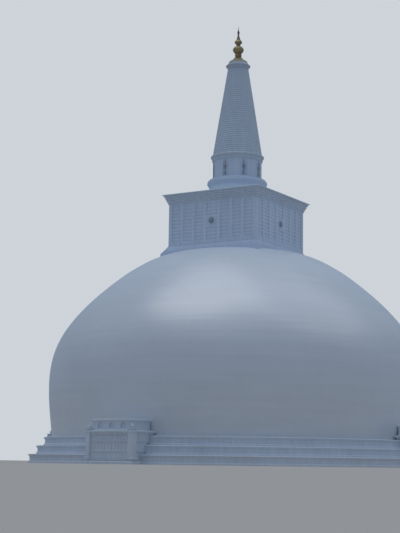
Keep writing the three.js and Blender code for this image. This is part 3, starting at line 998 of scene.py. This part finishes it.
def guardian(robe_paint, skirt_paint):
    """The figure about its own upright axis, facing -Y, with its feet at height 0."""
    stand = turned(
        [
            (0, 0),
            (0.36, 0),
            (0.36, 0.07),
            *swell((0.33, 0.08), (0.25, 0.18), -0.02),
            *swell((0.27, 0.19), (0.34, 0.34), 0.03),
            (0.26, 0.36),
            (0, 0.36),
        ],
        24,
    )
    skirt_curve = [(0.22, 0.36), (0.24, 0.5), (0.18, 0.9), (0.2, 1.3), (0.25, 1.6), (0.2, 1.78)]
    skirt = turned([(0, 0.34), *smoothed(skirt_curve, 4), (0, 1.8)], 24)
    sash = turned([(0, 1.5), *swell((0.265, 1.52), (0.25, 1.68), 0.025), (0, 1.7)], 24)
    torso_curve = [(0.19, 1.72), (0.22, 1.9), (0.27, 2.12), (0.27, 2.24), (0.18, 2.34), (0.08, 2.4)]
    torso = turned([(0, 1.7), *smoothed(torso_curve, 4), (0.075, 2.5), (0, 2.5)], 24)
    collar = turned([(0, 2.27), *swell((0.25, 2.27), (0.11, 2.42), 0.03), (0, 2.43)], 24)
    body = [(stand, stand_paint), (skirt, skirt_paint), (sash, gilt_paint)]
    body += [(torso, robe_paint), (collar, gilt_paint)]
    pairs = {
        "upper_arm": ((0.27, 0, 2.2), (0.37, -0.06, 1.88), 0.075, 0.06, robe_paint),
        "forearm": ((0.37, -0.06, 1.88), (0.035, -0.3, 2.08), 0.055, 0.04, skin),
        "hand": ((0.035, -0.3, 2.08), (0.02, -0.31, 2.24), 0.035, 0.015, skin),
        "armlet": ((0.3, -0.02, 2.1), (0.31, -0.02, 2.07), 0.085, 0.085, gilt_paint),
        "foot": ((0.09, -0.09, 0.37), (0.1, -0.26, 0.37), 0.05, 0.04, skin),
        "ear": ((0.12, 0.02, 2.56), (0.12, 0.02, 2.6), 0.028, 0.024, skin),
    }
    for start, end, start_radius, end_radius, paint in pairs.values():
        for hand in (-1, 1):
            ends = [(hand * x, y, z) for x, y, z in (start, end)]
            body.append((limb(*ends, start_radius, end_radius), paint))
    head = turned([*swell((0, 2.42), (0.105, 2.56), 0.03, 4), *swell((0.112, 2.6), (0, 2.76), 0.06, 6)], 24)
    nose = limb((0, -0.112, 2.61), (0, -0.125, 2.565), 0.01, 0.018)
    lips = limb((-0.022, -0.104, 2.525), (0.022, -0.104, 2.525), 0.009, 0.009)
    brow = limb((-0.06, -0.1, 2.632), (0.06, -0.1, 2.632), 0.011, 0.011)
    lids = [limb((x - 0.016, -0.103, 2.6), (x + 0.016, -0.103, 2.6), 0.013, 0.013) for x in (-0.042, 0.042)]
    body += [(head, skin), (nose, skin), (lips, skin), (brow, skin), *[(lid, skin) for lid in lids]]
    crown = turned(
        [
            (0, 2.64),
            (0.14, 2.65),
            (0.165, 2.7),
            *swell((0.15, 2.72), (0.15, 2.84), 0.02),
            (0.165, 2.85),
            (0.16, 2.88),
            *swell((0.135, 2.9), (0.12, 3.02), 0.02),
            (0.13, 3.03),
            (0.125, 3.06),
            *swell((0.1, 3.08), (0.08, 3.18), 0.015),
            (0.08, 3.19),
            (0.03, 3.24),
            (0, 3.4),
        ],
        20,
    )
    body.append((crown, gilt_paint))
    return joined([tinted(part, paint) for part, paint in body])


in_niche = shift(0, -FIGURE_RADIUS, NICHE_SILL + 0.01)
figures = [guardian(*paints) for paints in ROBES]
for figure in figures:
    figure.data.transform(Matrix.Diagonal((FIGURE_WIDTH, FIGURE_DEPTH, 1, 1)))
for place in range(NICHES):
    copy = twin(figures[place % len(figures)], turns[place] @ in_niche)
    fitted(copy, f"guardian_{place + 1}", None, "figure_paint", f"niche_figure_{place + 1}")
removed(*figures)

# The spire: a tall cone of brick built as forty rounded rings, each a little smaller than the
# one below and worn flatter towards the top. At its head are a projecting rim and a low bed of
# plaster for the pinnacle.
SPIRE_TOP = 92.3
SPIRE_FOOT_RADIUS = 5.78
SPIRE_TOP_RADIUS = 2.43
SPIRE_RINGS = 40
RING_GROOVE = 0.12
RING_BULGE = 0.11
RING_WEAR = 0.6

pitch = (SPIRE_TOP - SPIRE_FOOT) / SPIRE_RINGS
taper = (SPIRE_FOOT_RADIUS - SPIRE_TOP_RADIUS) / SPIRE_RINGS
outline = [(0, SPIRE_FOOT)]
for ring in range(SPIRE_RINGS):
    worn = 1 - RING_WEAR * ring / SPIRE_RINGS
    radius = SPIRE_FOOT_RADIUS - taper * ring - RING_GROOVE * worn
    foot = SPIRE_FOOT + pitch * ring
    outline += [(radius, foot), (radius, foot + 0.05)]
    bulge = RING_BULGE * worn
    outline += swell((radius + 0.02, foot + 0.06), (radius - taper + 0.02, foot + pitch - 0.03), bulge, 6)
outline += [(SPIRE_TOP_RADIUS - RING_GROOVE, SPIRE_TOP), (0, SPIRE_TOP)]
# The spire is painted darker towards its top.
spire_darkening = ((0.49, 0.57, 0.67), SPIRE_FOOT, SPIRE_TOP)
spire_wash = limewash("spire_limewash", (0.566, 0.653, 0.76), 0.65, spire_darkening)
fitted(turned(outline, 128), "ringed_spire", spire_wash, "whitewash", "spire")

crown = turned(
    [
        (0, SPIRE_TOP),
        (2.46, SPIRE_TOP),
        (2.46, 92.42),
        *swell((2.48, 92.44), (2.66, 92.78), -0.05),
        (2.7, 92.8),
        (2.7, 92.86),
        *swell((2.78, 92.88), (2.8, 93.2), 0.09),
        (2.6, 93.26),
        *swell((2.54, 93.32), (2.41, 93.54), 0.03),
        (2.3, 93.74),
        (0, 93.76),
    ],
    96,
)
# Faces that look down and faces that look up get darker washes: painted shade under the rim and on its
# tops.
crown_shade = limewash("crown_shade_limewash", (0.49, 0.55, 0.635), 0.75)
crown_top_shade = limewash("crown_top_shade_limewash", (0.50, 0.53, 0.57), 0.75)
shaded_by_facing(crown, (spire_wash, crown_shade, crown_top_shade), beneath=0.1, above=0.45)
fitted(crown, "rimmed_head", None, "whitewash", "spire_crown")

# The pinnacle: sheet copper, gilded and weathered, in turned pieces threaded on a core. A ribbed
# bell covers the head of the spire and carries a collar, a full pot, a smaller bulb and a spike.
PINNACLE_SIDES = 64
GORES = 16
GORE_EDGE = math.radians(40)
BELL_FOOT = 93.6
BELL_BARE = (93.9, 93.5)
BELL_GORES = 32
SHADED_FLANK_BEARING = math.radians(15)
SPIKE_WORN = (99.75, 100.1)
BRIGHT_GILT = (0.50, 0.36, 0.15, 1)


def gilding(name, gilt, dull, bare=None):
    """Gilding that is dull in the grooves between its gores, and darker on two opposite flanks, where shade
    at the sides is painted. Where two heights are given it is worn off from the first to the second."""
    finish = Finish(name, {"IOR": 1.5})
    radial = {"gradient_type": "RADIAL"}
    turn = finish.node("ShaderNodeTexGradient", radial, {"Vector": finish.place()}, "Fac")
    gore = finish.node("ShaderNodeMath", {"operation": "PINGPONG"}, {0: turn * GORES, 1: 0.5})
    # Two opposite flanks are painted darker: painted shade at the sides.
    shaded_flank_axis = (math.cos(SHADED_FLANK_BEARING), math.sin(SHADED_FLANK_BEARING), 0)
    flank_shade = abs(finish.vector("DOT_PRODUCT", finish.bearing(), shaded_flank_axis, "Value"))
    clouds = finish.noise((1, 1, 1), 7.0, detail=5.0, roughness=0.65)
    runs = finish.noise((1, 1, 0.1), 40.0, detail=4.0)
    grain = finish.noise((1, 1, 1), 120.0, detail=3.0)
    tarnish_and_shade = clouds * 0.9 + runs * 0.5 + flank_shade * 0.75 - gore * 1.1 - 0.3
    if bare:
        start, end = bare
        tarnish_and_shade = tarnish_and_shade + (finish.height() - start) * (1 / (end - start)) + flank_shade * flank_shade * 2
    tarnish_and_shade = tarnish_and_shade.clamped()
    return finish.given(
        {
            "Base Color": finish.mixed(tarnish_and_shade, gilt, dull),
            "Metallic": 0.9 - tarnish_and_shade * 0.7,
            "Roughness": 0.32 + tarnish_and_shade * 0.25 + (grain - 0.5) * 0.12,
            "Normal": finish.raised(grain, 0.0006, 0.5, finish.raised(clouds, 0.003, 0.4)),
        }
    )


gilt = gilding("weathered_and_shaded_gilding", BRIGHT_GILT, (0.20, 0.19, 0.17, 1))
# The bell's gilt is darker than the rest: tarnish, and painted shade on its broad top, which faces the
# lamps overhead.
bell_shaded_gilt = gilding("bell_shaded_gilding", (0.25, 0.22, 0.13, 1), (0.38, 0.40, 0.375, 1), BELL_BARE)
spike_gilt = gilding("spike_gilding", BRIGHT_GILT, (0.17, 0.175, 0.17, 1), SPIKE_WORN)


def gored(outline, depth, gores=GORES):
    """A turned piece with a groove drawn in along the edges of every gore, like a melon."""
    sides = gores * 4
    piece = turned(outline, sides)
    heights = [height * METRE for _, height in outline]
    low, high = min(heights), max(heights)
    margin = (high - low) * 0.08
    picked(piece, lambda place: on_groove(place, gores, sides) and low + margin < place.z < high - margin)
    bpy.ops.transform.resize(value=(1 - depth, 1 - depth, 1), center_override=(0, 0, 0))
    bpy.ops.object.mode_set(mode="OBJECT")
    with_modifier(piece, "SUBSURF", {"levels": 1, "render_levels": 1})
    bpy.ops.object.shade_smooth_by_angle(angle=GORE_EDGE)
    return piece


bell_points = [(2.34, BELL_FOOT), (2.29, 93.82), (2.16, 94.1), (1.9, 94.35)]
bell_points += [(1.42, 94.5), (1.26, 94.66), (1.16, 94.9), (0.84, 95.22)]
bell_outline = [(0, BELL_FOOT - 0.02), *smoothed(bell_points, 3), (0.78, 95.3), (0, 95.3)]
bell = gored(bell_outline, 0.05, BELL_GORES)
fitted(bell, "ribbed_bell", bell_shaded_gilt, "gilding", "pinnacle_foot")

collar = turned(
    [
        (0, 95.3),
        *swell((0.74, 95.3), (0.66, 95.54), -0.04),
        (0.72, 95.56),
        *swell((0.76, 95.6), (0.76, 95.9), 0.08, 6),
        (0.68, 95.94),
        *swell((0.64, 95.97), (0.62, 96.1), -0.02),
        (0, 96.1),
    ],
    PINNACLE_SIDES,
)
pot_curve = swell((0.64, 96.16), (0.52, 98.1), 0.71, 14)
pot_body = gored([(0, 96.1), (0.6, 96.1), *pot_curve, (0.44, 98.14), (0, 98.14)], 0.1)
pot_lip = [(0.5, 98.12), (0.52, 98.2), *swell((0.46, 98.22), (0.4, 98.4), -0.03)]
pot_bands = [
    turned([(0, 97.02), *swell((1.2, 97.02), (1.2, 97.24), 0.09), (0, 97.24)], PINNACLE_SIDES),
    turned([(0, 96.08), *swell((0.68, 96.1), (0.7, 96.22), 0.05), (0, 96.22)], PINNACLE_SIDES),
    turned([(0, 98.1), *pot_lip, (0, 98.4)], PINNACLE_SIDES),
]
pot = joined([pot_body, *pot_bands])
bulb = gored(
    [
        (0, 98.38),
        (0.42, 98.4),
        (0.46, 98.44),
        *swell((0.44, 98.46), (0.52, 99.56), 0.4, 14),
        (0.46, 99.6),
        (0.42, 99.65),
        (0, 99.66),
    ],
    0.08,
)
spike = turned(
    [
        (0, 99.64),
        (0.42, 99.65),
        (0.44, 99.74),
        (0.4, 99.78),
        *swell((0.42, 99.84), (0.19, 100.7), -0.01, 6),
        (0.21, 100.74),
        (0.21, 100.82),
        (0.18, 100.86),
        *swell((0.17, 100.9), (0.2, 101.05), -0.01),
        (0, 101.06),
    ],
    PINNACLE_SIDES,
)
fitted(collar, "gilded_collar", gilt, "gilding", "pinnacle_collar")
fitted(pot, "gored_pot", gilt, "gilding", "pinnacle_pot")
fitted(bulb, "gilded_bulb", gilt, "gilding", "pinnacle_bulb")
fitted(spike, "gilded_spike", spike_gilt, "gilding", "pinnacle_spike")

# The crystal at the head of the pinnacle, cut in facets and held by four gilded claws, and the
# lightning rod above it.
CRYSTAL_FACETS = 8
CLAWS = 4
CLAW_CURVE = [(0.19, 101.08), (0.22, 101.22), (0.255, 101.45), (0.24, 101.6)]


def cut_crystal():
    finish = Finish("dark_crystal", {"Roughness": 0.08, "IOR": 1.55, "Specular IOR Level": 0.7})
    depths = finish.noise((1, 1, 1), 25.0)
    colour = finish.mixed(depths, (0.03, 0.02, 0.06, 1), (0.12, 0.08, 0.18, 1))
    return finish.given({"Base Color": colour})


stone_outline = [(0, 101.04), (0.12, 101.05), (0.18, 101.2), (0.24, 101.42)]
stone_outline += [(0.24, 101.56), (0.16, 101.84), (0.08, 102.04), (0, 102.05)]
stone = turned(stone_outline, CRYSTAL_FACETS)
bpy.ops.object.shade_flat()
tinted(stone, cut_crystal())
claw_parts = [turned([(0, 101.0), (0.22, 101.02), (0.24, 101.1), (0.16, 101.16), (0, 101.16)], 24)]
for claw in range(CLAWS):
    angle = (claw + 0.5) * math.tau / CLAWS
    points = [(radius * math.cos(angle), radius * math.sin(angle), height) for radius, height in CLAW_CURVE]
    claw_parts += [limb(low, high, 0.028, 0.024) for low, high in zip(points, points[1:])]
claws = tinted(joined(claw_parts), gilt)
fitted(joined([stone, claws]), "cut_crystal", None, "crystal", "crystal")

rod = turned(
    [
        (0, 102.0),
        (0.1, 102.02),
        (0.11, 102.1),
        (0.06, 102.16),
        (0.045, 102.55),
        *swell((0.05, 102.56), (0.04, 102.66), 0.04, 4),
        (0.035, 102.68),
        (0.02, 102.96),
        (0, 103.0),
    ],
    16,
)
fitted(rod, "pointed_rod", gilt, "gilding", "lightning_rod")

# The studio: a pale floor and backdrop under an even bluish fill, with three broad soft lights
# high overhead that leave the upright faces in shade. Each light is an energy, and in degrees its
# width, its lean to the right and its lean to the front.
FLOOR_SIZE = 1000.0
FLOOR_PAINT = {"Base Color": (0.58, 0.54, 0.48, 1), "Roughness": 0.9}
FILL = {"Color": (0.62, 0.79, 1.07, 1), "Strength": 0.37}
BACKDROP = {"Color": (0.72, 0.77, 0.82, 1), "Strength": 0.85}
LAMP_COLOUR = (1.0, 0.98, 0.95)
SOFTBOXES = {
    "left_softbox": (0.396, 40, -12, -4),
    "right_softbox": (0.264, 50, 30, -4),
    "front_softbox": (0.158, 50, -10, 14),
}

bpy.ops.mesh.primitive_plane_add(size=FLOOR_SIZE)
floor = bpy.context.object
floor.name = "studio_floor"
tinted(floor, Finish("floor_paint", FLOOR_PAINT).material)
floor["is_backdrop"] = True

world = bpy.data.worlds.new("studio_sky")
bpy.context.scene.world = world
world.use_nodes = True
sky = world.node_tree
ambient = sky.nodes["Background"]
backdrop = sky.nodes.new("ShaderNodeBackground")
for background, values in ((ambient, FILL), (backdrop, BACKDROP)):
    for socket, value in values.items():
        background.inputs[socket].default_value = value
seen = sky.nodes.new("ShaderNodeLightPath")
chooser = sky.nodes.new("ShaderNodeMixShader")
sky.links.new(seen.outputs["Is Camera Ray"], chooser.inputs["Fac"])
sky.links.new(ambient.outputs["Background"], chooser.inputs[1])
sky.links.new(backdrop.outputs["Background"], chooser.inputs[2])
sky.links.new(chooser.outputs["Shader"], sky.nodes["World Output"].inputs["Surface"])

for name, (strength, width, right, front) in SOFTBOXES.items():
    bpy.ops.object.light_add(type="SUN")
    lamp = bpy.context.object
    lamp.name = name
    lamp.data.energy = strength
    lamp.data.angle = math.radians(width)
    lamp.data.color = LAMP_COLOUR
    lamp.matrix_world = (
        Matrix.Rotation(VIEW_AZIMUTH, 4, "Z")
        @ Matrix.Rotation(math.radians(front), 4, "X")
        @ Matrix.Rotation(math.radians(right), 4, "Y")
    )

bpy.context.scene.view_settings.view_transform = "Standard"

low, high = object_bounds()
